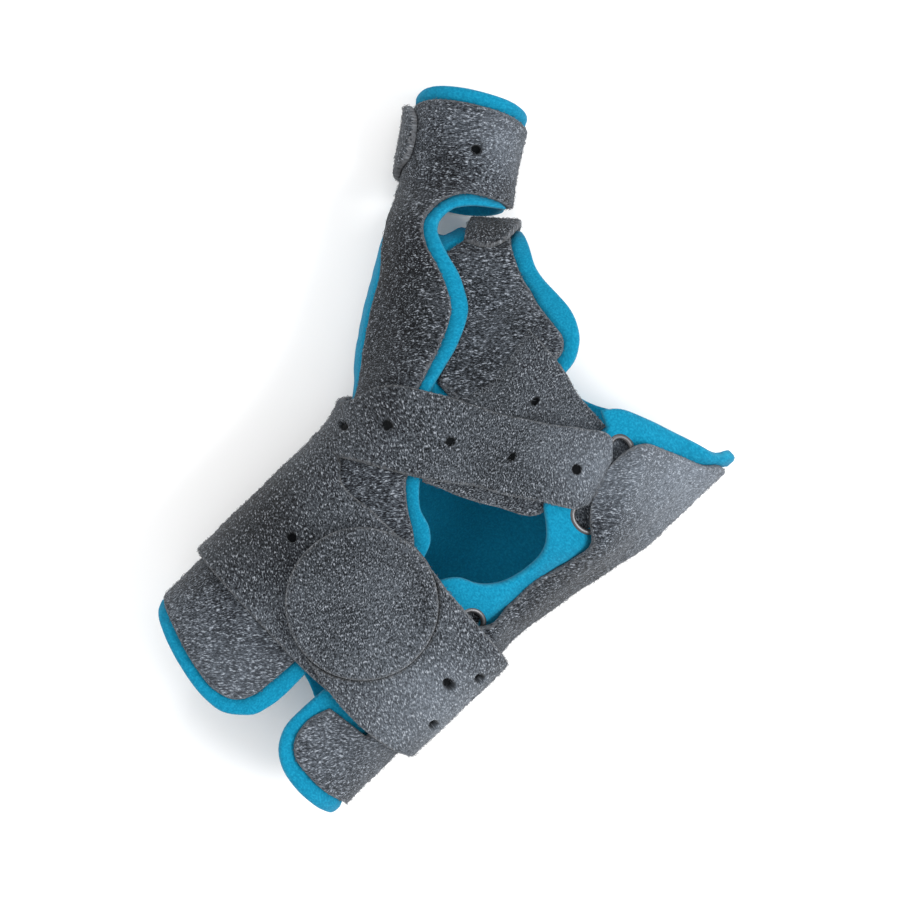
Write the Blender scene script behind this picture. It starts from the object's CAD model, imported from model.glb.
# %% [markdown]
# # A thumb spica splint, dressed for its picture
# The splint is felt-lined cloth that keeps the shape in which it is worn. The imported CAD
# model gives its sizes. Here each cloth layer is made again with finer faces, rounded
# edges, nap, stitches and fuzz, on the same smooth form that the CAD solids were cut on.

# %% The frame
import bpy
import bmesh
import math
import numpy as np
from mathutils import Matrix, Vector
from mathutils.geometry import delaunay_2d_cdt


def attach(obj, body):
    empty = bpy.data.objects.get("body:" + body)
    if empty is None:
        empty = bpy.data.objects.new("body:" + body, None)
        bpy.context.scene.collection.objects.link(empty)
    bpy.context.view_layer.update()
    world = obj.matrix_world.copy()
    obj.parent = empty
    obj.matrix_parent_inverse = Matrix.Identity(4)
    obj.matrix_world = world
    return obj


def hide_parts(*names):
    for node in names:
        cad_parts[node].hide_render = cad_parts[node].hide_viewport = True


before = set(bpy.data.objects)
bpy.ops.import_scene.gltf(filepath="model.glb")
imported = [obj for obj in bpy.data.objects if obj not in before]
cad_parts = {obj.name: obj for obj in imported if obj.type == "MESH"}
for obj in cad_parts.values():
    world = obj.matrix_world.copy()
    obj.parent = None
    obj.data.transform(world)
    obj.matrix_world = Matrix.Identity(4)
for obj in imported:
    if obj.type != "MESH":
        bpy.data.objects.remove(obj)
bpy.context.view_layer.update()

# %% [markdown]
# ## Sizes
# Everything is drawn in millimetres on the hand's own axes: x to the little finger,
# y to the fingers, z out of the back of the hand. ROW moves the result to the row frame.
# Thicknesses are the real ones: a felt lining, a loop-pile cover and webbing-like straps.

# %% Sizes and tables
MM = 0.001
ROW = np.array([20.032, 6.879, 23.35])
LINING = 1.2          # felt thickness
COVER = 1.6           # loop cloth thickness
GAP = 0.5             # space left between layers
STRAP = 1.8           # wide and narrow straps
THIN = 1.3            # hidden strap runs
LAYERS = LINING + GAP + 0.25 + COVER
COVER_AT = LINING + GAP + 0.15            # where the cover starts above the form
ON_BODY = LAYERS + GAP + 0.15             # and where a strap on it starts
THUMB_LEAN = math.radians(35.0)   # thumb axis, from the forearm's line
SLOT_HALF = 2.0       # half width of a slot's opening
RING_HALF = 3.5       # half width of a slot ring
RING_WIDE = 1.55
RING_TALL = 1.3
BODY_R = 28.0         # reference radii that turn an angle into a length
THUMB_R = 13.0
WEB_R = 22.0

# hand form: y, left x, right x, top z, bottom z of the wrist and palm
HAND = [(-95, -31.6, 32.4, 20.0, -19.5), (-60, -31.0, 31.6, 19.5, -19.5),
        (-20, -31.0, 31.8, 19.0, -20.0), (0, -31.0, 34.6, 18.0, -22.5),
        (12, -30.0, 37.0, 17.0, -23.0), (20, -29.0, 38.4, 16.2, -23.0),
        (35, -27.5, 38.4, 14.5, -23.0), (52, -27.0, 38.6, 12.5, -22.0),
        (75, -27.0, 38.6, 11.0, -20.0)]
# thumb form: distance along the thumb, centre across it, half width, half height, axis z
THUMB = [(-10, -16.4, 10.4, 12.0, -1.0), (8, -17.8, 12.6, 14.0, -2.0),
         (24, -20.4, 14.0, 14.0, -3.2), (38, -20.6, 14.1, 13.8, -4.8),
         (50, -20.5, 13.1, 12.6, -6.4), (60, -20.3, 12.3, 11.6, -7.8),
         (70, -19.7, 11.0, 10.7, -8.6), (86, -19.8, 11.2, 10.6, -9.6),
         (96, -19.9, 12.0, 10.9, -10.0)]
REST_WRIST = -19.0    # the form's flat underside below the wide strap
REST_HAND = -21.2     # and below the palm and thumb, which have no strap under them
REST_STRAP = 0.6      # the narrow strap's end bears a little less
FLOOR = -23.35        # cloth that would reach lower is pressed flat at this height

# %% [markdown]
# ## The form
# A worn splint keeps the hand's shape. One smooth field stands for the hand: a flattened
# tube for wrist and palm, a round one for the thumb and a soft bar for the web between
# them, joined with a smooth minimum. A field can be asked for its surface from any side,
# so every layer can be laid on it and none has to be pushed into place by eye.

# %% The hand as a smooth field
def table(rows, key, col, soft=4.0):
    """One column of a table of rows at a place between them, smoothed over a short stretch."""
    rows = np.array(rows, float)
    total = 0.0
    for k in np.linspace(-soft, soft, 9):
        total = total + np.interp(key + k, rows[:, 0], rows[:, col])
    return total / 9.0


def smin(a, b, k):
    """The smaller of two values, with a soft change from one to the other."""
    h = np.clip(0.5 + 0.5 * (b - a) / k, 0, 1)
    return b * (1 - h) + a * h - k * h * (1 - h)


def step(x):
    """A smooth rise from nothing to one."""
    x = np.clip(x, 0, 1)
    return x * x * (3 - 2 * x)


def squashed(dx, dz, a, b, n):
    """Distance from a rounded box-like oval."""
    q = ((np.abs(dx) / a) ** n + (np.abs(dz) / b) ** n) ** (1.0 / n)
    q = np.maximum(q, 1e-4)
    return np.hypot(dx, dz) * (1 - 1 / q)


LEAN_COS, LEAN_SIN = math.cos(THUMB_LEAN), math.sin(THUMB_LEAN)


def thumb_coords(x, y):
    """Distance along the thumb and across it, from a place seen from above."""
    return LEAN_COS * y - LEAN_SIN * x, LEAN_SIN * y + LEAN_COS * x


def thumb_plan(along, across):
    """The place seen from above of a point along and across the thumb."""
    return -LEAN_SIN * along + LEAN_COS * across, LEAN_COS * along + LEAN_SIN * across


def form(p, cut=None):
    """Height above the form, below zero inside it."""
    x, y, z = p[:, 0], p[:, 1], p[:, 2]
    xl, xr = table(HAND, y, 1), table(HAND, y, 2)
    zt, zb = table(HAND, y, 3), table(HAND, y, 4)
    hand = squashed(x - (xl + xr) / 2, z - (zt + zb) / 2, (xr - xl) / 2, (zt - zb) / 2, 2.4)
    al, ac = thumb_coords(x, y)
    across, up = ac - table(THUMB, al, 1), z - table(THUMB, al, 4)
    thumb = squashed(across, up, table(THUMB, al, 2), table(THUMB, al, 3), 2.1)
    thumb = thumb + 0.5 * np.maximum(-al - 8, 0)
    if cut is not None:
        thumb = -smin(-thumb, -(al - cut), 6.0)
    # web of skin between the thumb and the palm
    a = np.array([-43.6, 29.9, -5.0])
    b = np.array([-24.5, 47.4, -4.0])
    t = np.clip(((p - a) @ (b - a)) / ((b - a) @ (b - a)), 0, 1)
    web = np.linalg.norm((p - a - t[:, None] * (b - a)) * [1, 1, 1.05], axis=1) - 9.5
    f = smin(smin(hand, thumb, 10.0), web, 7.0)
    flat = REST_WRIST + REST_STRAP * step((y + 26) / 5.0)
    flat = flat + (REST_HAND - REST_WRIST - REST_STRAP) * step((y + 1) / 9.0)
    return -smin(-f, z - flat, 7.0)


def slope(p, cut=None):
    """The direction straight out of the form."""
    g = np.zeros_like(p)
    for k in range(3):
        d = np.zeros(3)
        d[k] = 0.05
        g[:, k] = form(p + d, cut) - form(p - d, cut)
    return g / np.maximum(np.linalg.norm(g, axis=1), 1e-9)[:, None]

# %% [markdown]
# ## Charts
# Cloth starts flat, so each piece is drawn flat. A chart shoots rays from a line inside
# the form: q runs along the line and s round it. Edges read off the part from above are
# turned into chart coordinates first, then the piece is cut and laid on the form.

# %% Charts that lay flat cloth on the form
class Chart:
    """Rays from a line: q runs along the line, s is the angle round it times a radius."""

    def __init__(self, origin, axis, up, side, radius, cut=None):
        self.cut = cut
        self.o, self.a = np.array(origin, float), np.array(axis, float)
        self.u, self.s, self.r = np.array(up, float), np.array(side, float), radius

    def cast(self, q, s):
        """Where rays meet the form: marched outward, then halved to the surface."""
        q, s = np.asarray(q, float), np.asarray(s, float)
        ang = s / self.r
        o = self.o + q[:, None] * self.a
        d = np.cos(ang)[:, None] * self.u + np.sin(ang)[:, None] * self.s
        far = np.full(len(q), 75.0)
        near = np.zeros(len(q))
        found = np.zeros(len(q), bool)
        for r in np.arange(2.0, 76.0, 2.0):
            out = (form(o + d * r, self.cut) > 0) & ~found
            far[out] = r
            near[out] = r - 2.0
            found |= out
        for _ in range(16):
            mid = (near + far) / 2
            inside = form(o + d * mid[:, None], self.cut) < 0
            near = np.where(inside, mid, near)
            far = np.where(inside, far, mid)
        return o + d * ((near + far) / 2)[:, None]

    def coords(self, p):
        """Chart coordinates of places in space."""
        d = p - self.o
        return d @ self.a, np.arctan2(d @ self.s, d @ self.u) * self.r

    def plan(self, pts, off, lo=-88.0, hi=88.0):
        """Turns points seen from above into chart coordinates, on a surface off above the form."""
        out = []
        ang = np.radians(np.linspace(lo, hi, 177)) * self.r
        for x, y in pts:
            best = None
            for _ in range(6):
                q = (np.array([x, y, 0]) - self.o) @ self.a if best is None else best
                p = self.cast(np.full(len(ang), q), ang)
                p = p + slope(p, self.cut) * off
                along = p @ np.array([self.s[0], self.s[1], 0])
                want = x * self.s[0] + y * self.s[1]
                order = np.maximum.accumulate(along)
                s = float(np.interp(want, order, ang))
                here = self.cast([q], [s])
                here = here + slope(here, self.cut) * off
                miss = (np.array([x, y]) - here[0, :2]) @ (self.a[:2] / np.linalg.norm(self.a[:2]))
                best = q + miss
                if abs(miss) < 0.05:
                    break
            out.append((float(best), s))
        return out


BODY = Chart((0, 0, -1), (0, 1, 0), (0, 0, 1), (-1, 0, 0), BODY_R)
THUMB_DROP = 0.12      # how much the thumb line sinks as it runs on
THUMB_LINE = np.array([-LEAN_SIN, LEAN_COS, -THUMB_DROP])
THUMB_LINE = THUMB_LINE / np.linalg.norm(THUMB_LINE)
THUMB_SIDE = np.array([-LEAN_COS, -LEAN_SIN, 0.0])
THUMB_UP = np.cross(THUMB_SIDE, THUMB_LINE)
THUMB_UP = THUMB_UP if THUMB_UP[2] > 0 else -THUMB_UP
THUMB_START = thumb_plan(0, -20.0)
THUMB_CHART = Chart((THUMB_START[0], THUMB_START[1], -0.9), THUMB_LINE, THUMB_UP, THUMB_SIDE, THUMB_R)
WEB_OUT = np.array([-0.675, 0.737, 0.0])
WEB_OUT = WEB_OUT / np.linalg.norm(WEB_OUT)
WEB_LINE = np.array([WEB_OUT[1], -WEB_OUT[0], 0.0])
WEB_CHART = Chart(tuple(WEB_OUT * 45 + np.array([0, 0, -3.0])), WEB_LINE, (0, 0, 1), WEB_OUT, WEB_R, cut=54.0)

# %% [markdown]
# ## Cutting cloth
# An outline is a smooth curve through a few points. The inside is filled with an even
# grid and triangulated with the edge held, which is how a pattern piece is cut: any shape,
# any holes, even faces. Rows of points just inside the edge let the edge be rounded.

# %% Lines and distances
def resample(pts, gap, closed=True):
    """Points at an even distance along straight pieces."""
    pts = [np.array(p, float) for p in pts]
    if closed:
        pts = pts + [pts[0]]
    out = []
    for a, b in zip(pts[:-1], pts[1:]):
        n = max(1, int(round(np.linalg.norm(b - a) / gap)))
        for k in range(n):
            out.append(a + (b - a) * k / n)
    if not closed:
        out.append(pts[-1])
    return np.array(out)


def inside(poly, pts):
    """Which points lie inside a closed line."""
    x, y = pts[:, 0], pts[:, 1]
    res = np.zeros(len(pts), bool)
    n = len(poly)
    for i in range(n):
        x1, y1 = poly[i - 1]
        x2, y2 = poly[i]
        hit = ((y1 > y) != (y2 > y)) & (x < (x2 - x1) * (y - y1) / (y2 - y1 + 1e-12) + x1)
        res ^= hit
    return res


def rim_distance(poly, pts):
    """Distance from points to a closed line."""
    best = np.full(len(pts), 1e9)
    n = len(poly)
    for i in range(n):
        a, b = poly[i - 1], poly[i]
        ab = b - a
        t = np.clip(((pts - a) @ ab) / (ab @ ab + 1e-12), 0, 1)
        best = np.minimum(best, np.linalg.norm(pts - a - t[:, None] * ab, axis=1))
    return best


def signed(poly, pts):
    """Distance to a closed line, below zero outside it."""
    d = rim_distance(poly, pts)
    return np.where(inside(poly, pts), d, -d)


def lap(poly, pts, ramp=4.0, margin=0.7):
    """One over an outline, falling to nothing a ramp outside it."""
    return step(1 + (signed(poly, pts) + margin) / ramp)


def edge_gap(rings, pts):
    """Distance from each point to the nearest cut edge."""
    return np.min([rim_distance(r, pts) for r in rings], axis=0)

# %% A smooth outline from a few points
def soft_line(points, gap=1.3, sharp=58.0):
    """A closed line through a few points, smooth at gentle turns and crisp at sharp ones."""
    p = np.array(points, float)
    n = len(p)
    way = [p[(i + 1) % n] - p[i] for i in range(n)]
    size = [max(float(np.linalg.norm(w)), 1e-6) for w in way]
    unit = [w / s for w, s in zip(way, size)]
    limit = math.cos(math.radians(sharp))

    def lean(i, own):
        if unit[i - 1] @ unit[i % n] < limit:
            return own
        m = unit[i - 1] * size[i % n] + unit[i % n] * size[i - 1]
        return m / np.linalg.norm(m)

    out = []
    for i in range(n):
        a, b = lean(i, unit[i]) * size[i], lean((i + 1) % n, unit[i]) * size[i]
        steps = max(1, int(round(size[i] / gap)))
        for k in range(steps):
            t = k / steps
            out.append((2 * t ** 3 - 3 * t * t + 1) * p[i] + (t ** 3 - 2 * t * t + t) * a
                       + (3 * t * t - 2 * t ** 3) * p[(i + 1) % n] + (t ** 3 - t * t) * b)
    return np.array(out)

# %% The cutter
DENT_ROWS = (0.25, 0.75, 1.1, 1.25, 1.55, 2.1)    # rings of points round a punched mark
DENT_ROUND = np.arange(14) * math.pi / 7


def cut_cloth(outline, holes=(), cell=1.5, rows=(0.3, 0.8), dents=()):
    """Even triangles inside an outline, with rows of points along every cut edge and round every dent."""
    rings = [np.array(outline)] + [np.array(h) for h in holes]
    pts, edges = [], []
    for spot in dents:
        for r in DENT_ROWS:
            pts += [(spot[0] + r * math.cos(t), spot[1] + r * math.sin(t)) for t in DENT_ROUND]
    for ring in rings:
        start = len(pts)
        pts += [tuple(p) for p in ring]
        edges += [(start + i, start + (i + 1) % len(ring)) for i in range(len(ring))]
    for k, ring in enumerate(rings):
        x, y = ring[:, 0], ring[:, 1]
        turn = np.sum(x * np.roll(y, -1) - y * np.roll(x, -1))
        way = np.roll(ring, -1, 0) - np.roll(ring, 1, 0)
        left = np.stack([-way[:, 1], way[:, 0]], 1)
        left /= np.maximum(np.linalg.norm(left, axis=1), 1e-9)[:, None]
        left *= (1 if turn > 0 else -1) * (1 if k == 0 else -1)
        for d in rows:
            row = ring + left * d
            ok = inside(rings[0], row) & (edge_gap(rings, row) > d * 0.85)
            pts += [tuple(p) for p in row[ok]]
    lo, hi = rings[0].min(0), rings[0].max(0)
    gx = np.arange(lo[0], hi[0] + cell, cell)
    gy = np.arange(lo[1], hi[1] + cell, cell * 0.87)
    grid = np.array([(a + (cell / 2 if k % 2 else 0), b) for k, b in enumerate(gy) for a in gx])
    grid = grid[inside(rings[0], grid)]
    for hole in rings[1:]:
        grid = grid[~inside(hole, grid)]
    grid = grid[edge_gap(rings, grid) > rows[-1] + cell * 0.45]
    for spot in dents:
        grid = grid[np.hypot(grid[:, 0] - spot[0], grid[:, 1] - spot[1]) > DENT_ROWS[-1] + cell * 0.4]
    pts += [tuple(p) for p in grid]
    res = delaunay_2d_cdt([Vector(p) for p in pts], edges, [], 0, 1e-6)
    v = np.array([tuple(p) for p in res[0]])
    f = np.array([tuple(t) for t in res[2]])
    mid = v[f].mean(1)
    keep = inside(rings[0], mid)
    for hole in rings[1:]:
        keep &= ~inside(hole, mid)
    f = f[keep]
    used = np.unique(f)
    back = -np.ones(len(v), int)
    back[used] = np.arange(len(used))
    return v[used], back[f], edge_gap(rings, v[used])

# %% [markdown]
# ## A layer with two faces and a worn edge
# Each layer is a closed body: an outer face, an inner face and the cut edge between.
# The edge is pinched and rounded, since scissors and wear leave no crisp corner. The
# distance to the cut edge is kept as an attribute, so that a finish can fray it later, and
# so is the lay of the nap: brushed up it looks lighter, pressed flat it looks darker.
# The whole form is a little uneven, because cloth on a hand never lies quite even.

# %% A little unevenness
MADE = {}             # the finished layers by name


def unevenness(p):
    """Low, slow waves that every layer shares, so that none cuts through another."""
    x, y, z = p[:, 0], p[:, 1], p[:, 2]
    slow = np.sin(0.31 * x + 0.17 * y + 1.3) * np.sin(0.23 * y - 0.29 * z + 0.4)
    quick = np.sin(0.62 * x - 0.51 * y + 0.8 * z) * np.sin(0.37 * x + 0.71 * y + 2.1)
    return 0.17 * slow + 0.09 * quick

# %% How the nap lies
# where the nap is brushed up and looks lighter (+) or lies flat and looks darker (-):
# place seen from above, reach and amount
NAP_LAY = [((-61.9, 49.5), 7.0, -0.5), ((-56.9, 63.7), 8.0, 0.6), ((-54.5, 26.6), 15.0, -0.85),
           ((-40.9, 8.3), 13.0, -0.55), ((-32.7, -8.3), 12.0, -0.3), ((16.3, 22.6), 9.0, 0.6),
           ((-31.1, -46.3), 18.0, -0.75), ((34.3, -47.0), 13.0, 0.75), ((36.0, 38.0), 16.0, 1.1),
           ((31.9, -6.3), 12.0, -0.45), ((-7.6, -76.0), 15.0, 0.35), ((24.1, -71.9), 12.0, 0.25),
           ((-42.8, 46.6), 6.0, -0.6), ((-16.0, 16.0), 10.0, -0.25)]


def nap_lay(p):
    """How bright the nap looks at each point: one is neutral."""
    total = np.zeros(len(p))
    for at, reach, amount in NAP_LAY:
        total += amount * np.exp(-((p[:, 0] - at[0]) ** 2 + (p[:, 1] - at[1]) ** 2) / reach ** 2)
    return np.clip(1.0 + total, 0.25, 2.2)

# %% Laying cloth on a chart
def on(chart):
    """Lays flat cloth on the form: gives places and directions out of it."""
    def place(v):
        p = chart.cast(v[:, 0], v[:, 1])
        return p, slope(p, chart.cut)
    return place


def mesh_object(name, verts, faces, finish):
    """A smooth mesh object from points in millimetres."""
    mesh = bpy.data.meshes.new(name)
    mesh.from_pydata([tuple(p) for p in (np.array(verts) + ROW) * MM], [], faces)
    mesh.materials.append(finish)
    mesh.polygons.foreach_set("use_smooth", [True] * len(mesh.polygons))
    obj = bpy.data.objects.new(name, mesh)
    bpy.context.scene.collection.objects.link(obj)
    return obj


def line_distance(line, pts):
    """Distance from flat points to an open line."""
    best = np.full(len(pts), 1e9)
    for a, b in zip(line[:-1], line[1:]):
        ab = b - a
        t = np.clip(((pts - a) @ ab) / (ab @ ab), 0, 1)
        best = np.minimum(best, np.linalg.norm(pts - a - t[:, None] * ab, axis=1))
    return best

# %% A closed layer
def layer(name, place, low, high, outline, finish, holes=(), cell=1.5, soft=0.8, keep=0.45, wavy=True,
          dents=(), fade=None):
    """Makes one closed layer of cloth between the heights low and high above the form.

    Dents are the middles of punched marks. fade is (line, width, height): near the line
    the layer thins out to that height.
    """
    v, f, gap = cut_cloth(outline, holes, cell, dents=dents)
    p, n = place(v)
    lo, hi = low(v, p), high(v, p)
    rim_mark, pit = gap.copy(), np.zeros(len(v))
    if fade is not None:
        line, width, floor_height = fade
        w = step(line_distance(np.array(line), v) / width)
        hi = floor_height(v, p) + (hi - floor_height(v, p)) * w
        rim_mark += 6 * (1 - w)
    for spot in dents:
        r = np.hypot(v[:, 0] - spot[0], v[:, 1] - spot[1])
        pit = np.maximum(pit, np.clip((1.35 - r) / 0.2, 0, 1))
        lip = 0.12 * np.exp(-((r - 1.75) / 0.35) ** 2)
        hi = hi + (lip - (hi - lo - 0.35) * np.clip((1.3 - r) / 0.2, 0, 1)) / (1.0 if wavy else 1.7)
    if wavy:
        lo, hi = lo + unevenness(p), hi + unevenness(p)
    bend = np.sqrt(np.clip(1 - (1 - np.clip(gap / soft, 0, 1)) ** 2, 0, 1))
    pinch = (hi - lo) * (1 - keep) * (1 - bend)
    top = p + n * (hi - 0.7 * pinch)[:, None]
    bot = p + n * (lo + 0.3 * pinch)[:, None]
    top[:, 2] = np.maximum(top[:, 2], FLOOR)
    bot[:, 2] = np.maximum(bot[:, 2], FLOOR)
    a, b, c = top[f[:, 0]], top[f[:, 1]], top[f[:, 2]]
    if np.sum(np.einsum("ij,ij->i", np.cross(b - a, c - a), n[f].mean(1))) < 0:
        f = f[:, ::-1]
    count = len(v)
    edge = {(int(t[i]), int(t[(i + 1) % 3])) for t in f for i in range(3)}
    faces = [tuple(int(i) for i in t) for t in f]
    faces += [tuple(int(i) + count for i in t[::-1]) for t in f]
    faces += [(j, i, i + count, j + count) for i, j in edge if (j, i) not in edge]
    obj = mesh_object(name, np.vstack([top, bot]), faces, finish)
    off_floor = step((top[:, 2] - FLOOR - 0.6) / 0.8)
    marks = {"rim": np.tile(rim_mark, 2), "pit": np.concatenate([pit, 0 * pit]),
             "outer": np.concatenate([(1 - pit) * off_floor, 0 * pit]),
             "lay": nap_lay(np.vstack([top, bot]))}
    for label, values in marks.items():
        mark = obj.data.attributes.new(label, "FLOAT", "POINT")
        mark.data.foreach_set("value", values)
    weave = obj.data.uv_layers.new(name="weave")
    spot = np.tile(v, (2, 1)) * MM
    corner = np.array([l.vertex_index for l in obj.data.loops])
    weave.data.foreach_set("uv", spot[corner].ravel())
    tri = np.linalg.norm(np.cross(b - a, c - a), axis=1).sum() / 2
    flat = np.abs(np.cross(v[f[:, 1]] - v[f[:, 0]], v[f[:, 2]] - v[f[:, 0]])).sum() / 2
    w, l = np.ptp(v[:, 0]), np.ptp(v[:, 1]) * tri / flat
    obj["cut"] = [w * MM, l * MM, tri * MM * MM]
    MADE[name] = obj
    print(name, "faces", len(faces), "cut", round(w), "x", round(l), "mm, cloth", round(tri / 100), "cm2")
    return obj

# %% Declaring a layer
def worn(obj, node):
    """Declares a finished layer: what it stands for and its flat cut."""
    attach(obj, "root")
    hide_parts(node)

# %% [markdown]
# ## Cloth finishes
# Three cloths are seen: a soft blue felt that turns over the edges, a brushed loop cloth
# with light flecks, and the same cloth woven closer on the straps. What they share is put
# in node groups: a nap of short dashes that gives flecks and height, and a cut edge that
# frays lighter. The groups only give masks, so one group serves every cloth.

# %% Helpers for shader groups
def group(name, ins, outs):
    """A shader group that takes the inputs and gives plain values."""
    tree = bpy.data.node_groups.new(name, "ShaderNodeTree")
    for label, kind, value in ins:
        sock = tree.interface.new_socket(name=label, in_out="INPUT", socket_type=kind)
        if value is not None:
            sock.default_value = value
    for label in outs:
        tree.interface.new_socket(name=label, in_out="OUTPUT", socket_type="NodeSocketFloat")
    return tree, tree.nodes.new("NodeGroupInput"), tree.nodes.new("NodeGroupOutput")


def maths(tree, kind, a, b=None, clamp=False):
    """A sum on one or two values or sockets, for shaders and geometry alike."""
    node = tree.nodes.new("ShaderNodeMath")
    node.operation = kind
    node.use_clamp = clamp
    for k, value in enumerate((a, b)):
        if value is None:
            continue
        if isinstance(value, (int, float)):
            node.inputs[k].default_value = value
        else:
            tree.links.new(value, node.inputs[k])
    return node.outputs[0]


def spread(tree, value, lo, hi, smooth=True):
    """Stretches a range of values to nothing up to one."""
    node = tree.nodes.new("ShaderNodeMapRange")
    node.interpolation_type = "SMOOTHSTEP" if smooth else "LINEAR"
    tree.links.new(value, node.inputs["Value"])
    node.inputs["From Min"].default_value = lo
    node.inputs["From Max"].default_value = hi
    return node.outputs["Result"]


def noise(tree, place, scale, detail=2.0, rough=0.5):
    """A noise value at a place."""
    node = tree.nodes.new("ShaderNodeTexNoise")
    tree.links.new(place, node.inputs["Vector"])
    if isinstance(scale, (int, float)):
        node.inputs["Scale"].default_value = scale
    else:
        tree.links.new(scale, node.inputs["Scale"])
    node.inputs["Detail"].default_value = detail
    node.inputs["Roughness"].default_value = rough
    return node.outputs["Fac"]

# %% The nap group
nap, a, b = group("brushed nap", [("Place", "NodeSocketVector", None), ("Spot", "NodeSocketVector", None)],
                  ["Shade", "Flecks", "Height"])
fine = noise(nap, a.outputs["Place"], 1.0, 2.0, 0.6)
tuft = noise(nap, a.outputs["Place"], 0.45, 2.0, 0.6)
cloud = noise(nap, a.outputs["Spot"], 90.0, 3.0, 0.6)
mixed = maths(nap, "ADD", maths(nap, "MULTIPLY", fine, 0.7), maths(nap, "MULTIPLY", tuft, 0.3))
shade = maths(nap, "ADD", maths(nap, "MULTIPLY", mixed, 0.86), maths(nap, "MULTIPLY", cloud, 0.14))
nap.links.new(spread(nap, shade, 0.40, 0.60), b.inputs["Shade"])
nap.links.new(spread(nap, mixed, 0.54, 0.66), b.inputs["Flecks"])
nap.links.new(mixed, b.inputs["Height"])

# %% The cut edge group
fray, a, b = group("cut edge", [("Rim", "NodeSocketFloat", 1.0), ("Place", "NodeSocketVector", None),
                                ("Width", "NodeSocketFloat", 0.5)], ["Edge"])
threads = noise(fray, a.outputs["Place"], 1400.0, 2.0)
ragged = maths(fray, "MULTIPLY", maths(fray, "SUBTRACT", threads, 0.5), 2.4)
near = maths(fray, "DIVIDE", maths(fray, "ADD", a.outputs["Rim"], ragged), a.outputs["Width"])
fray.links.new(maths(fray, "SUBTRACT", 1.0, spread(fray, near, 0.0, 1.0), True), b.inputs["Edge"])
print("groups", [g.name for g in bpy.data.node_groups])

# %% [markdown]
# ## Felt, loop cloth, strap cloth and ring metal
# One function dresses every cloth. The nap moves the colour between a deep and a lifted
# tone, flecks add the light fibre tips, and the cut edge turns paler and warmer. Sheen on
# the shader gives the soft outline that brushed cloth shows when it is seen at a slant.

# %% Mixing colours
def blend(tree, factor, one, two):
    """A mix of two colours."""
    node = tree.nodes.new("ShaderNodeMix")
    node.data_type = "RGBA"
    tree.links.new(factor, node.inputs[0])
    for value, socket in ((one, node.inputs[6]), (two, node.inputs[7])):
        if isinstance(value, tuple):
            socket.default_value = (*value, 1.0)
        else:
            tree.links.new(value, socket)
    return node.outputs[2]

# %% A cloth finish
LIFTED_NAP = (0.085, 0.098, 0.115)


def scaled(tree, colour, by):
    """A colour or direction times a value."""
    node = tree.nodes.new("ShaderNodeVectorMath")
    node.operation = "SCALE"
    if isinstance(colour, tuple):
        node.inputs[0].default_value = colour
    else:
        tree.links.new(colour, node.inputs[0])
    tree.links.new(by, node.inputs["Scale"])
    return node.outputs[0]


def cloth(name, deep, lifted, tips, cut, dash=(0.4, 1.0), turn=0.0, bump=0.5, sheen=0.3, frayed=0.5,
          tip_part=0.5, laid=True, across=False):
    """A cloth finish made of four tones.

    dash is the size of the nap's short dashes in millimetres, and turn their angle. They
    follow the piece, or with across they keep one direction over the whole splint.
    """
    mat = bpy.data.materials.new(name)
    mat.use_nodes = True
    tree = mat.node_tree
    shader = tree.nodes["Principled BSDF"]
    where = tree.nodes.new("ShaderNodeTexCoord")
    weave = tree.nodes.new("ShaderNodeUVMap")
    weave.uv_map = "weave"
    turned = tree.nodes.new("ShaderNodeMapping")
    turned.inputs["Rotation"].default_value = (0.0, 0.0, math.radians(turn))
    tree.links.new(where.outputs["Object"] if across else weave.outputs["UV"], turned.inputs["Vector"])
    sized = tree.nodes.new("ShaderNodeMapping")
    deep_size = 1.0 / MM / min(dash) if across else 1.0
    sized.inputs["Scale"].default_value = (1.0 / MM / dash[0], 1.0 / MM / dash[1], deep_size)
    tree.links.new(turned.outputs["Vector"], sized.inputs["Vector"])
    n = tree.nodes.new("ShaderNodeGroup")
    n.node_tree = nap
    tree.links.new(sized.outputs["Vector"], n.inputs["Place"])
    tree.links.new(where.outputs["Object"], n.inputs["Spot"])
    marks = {}
    for label in ("rim", "pit", "lay"):
        marks[label] = tree.nodes.new("ShaderNodeAttribute")
        marks[label].attribute_name = label
    e = tree.nodes.new("ShaderNodeGroup")
    e.node_tree = fray
    e.inputs["Width"].default_value = frayed
    tree.links.new(marks["rim"].outputs["Fac"], e.inputs["Rim"])
    tree.links.new(where.outputs["Object"], e.inputs["Place"])
    tone = blend(tree, n.outputs["Shade"], deep, lifted)
    if laid:
        lay = marks["lay"].outputs["Fac"]
        flat = scaled(tree, tone, maths(tree, "MINIMUM", lay, 1.0))
        raised_nap = scaled(tree, LIFTED_NAP, maths(tree, "MAXIMUM", maths(tree, "SUBTRACT", lay, 1.0), 0.0))
        both = tree.nodes.new("ShaderNodeVectorMath")
        both.operation = "ADD"
        tree.links.new(flat, both.inputs[0])
        tree.links.new(raised_nap, both.inputs[1])
        tone = both.outputs[0]
    tone = blend(tree, maths(tree, "MULTIPLY", n.outputs["Flecks"], tip_part), tone, tips)
    tone = blend(tree, maths(tree, "MULTIPLY", e.outputs["Edge"], 0.45), tone, cut)
    tone = blend(tree, marks["pit"].outputs["Fac"], tone, (0.002, 0.003, 0.004))
    tree.links.new(tone, shader.inputs["Base Color"])
    raised = tree.nodes.new("ShaderNodeBump")
    raised.inputs["Strength"].default_value = bump
    raised.inputs["Distance"].default_value = 0.0005
    tree.links.new(n.outputs["Height"], raised.inputs["Height"])
    tree.links.new(raised.outputs["Normal"], shader.inputs["Normal"])
    shader.inputs["Roughness"].default_value = 0.95
    shader.inputs["Specular IOR Level"].default_value = 0.12
    shader.inputs["Sheen Weight"].default_value = sheen
    shader.inputs["Sheen Roughness"].default_value = 0.5
    return mat

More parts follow.
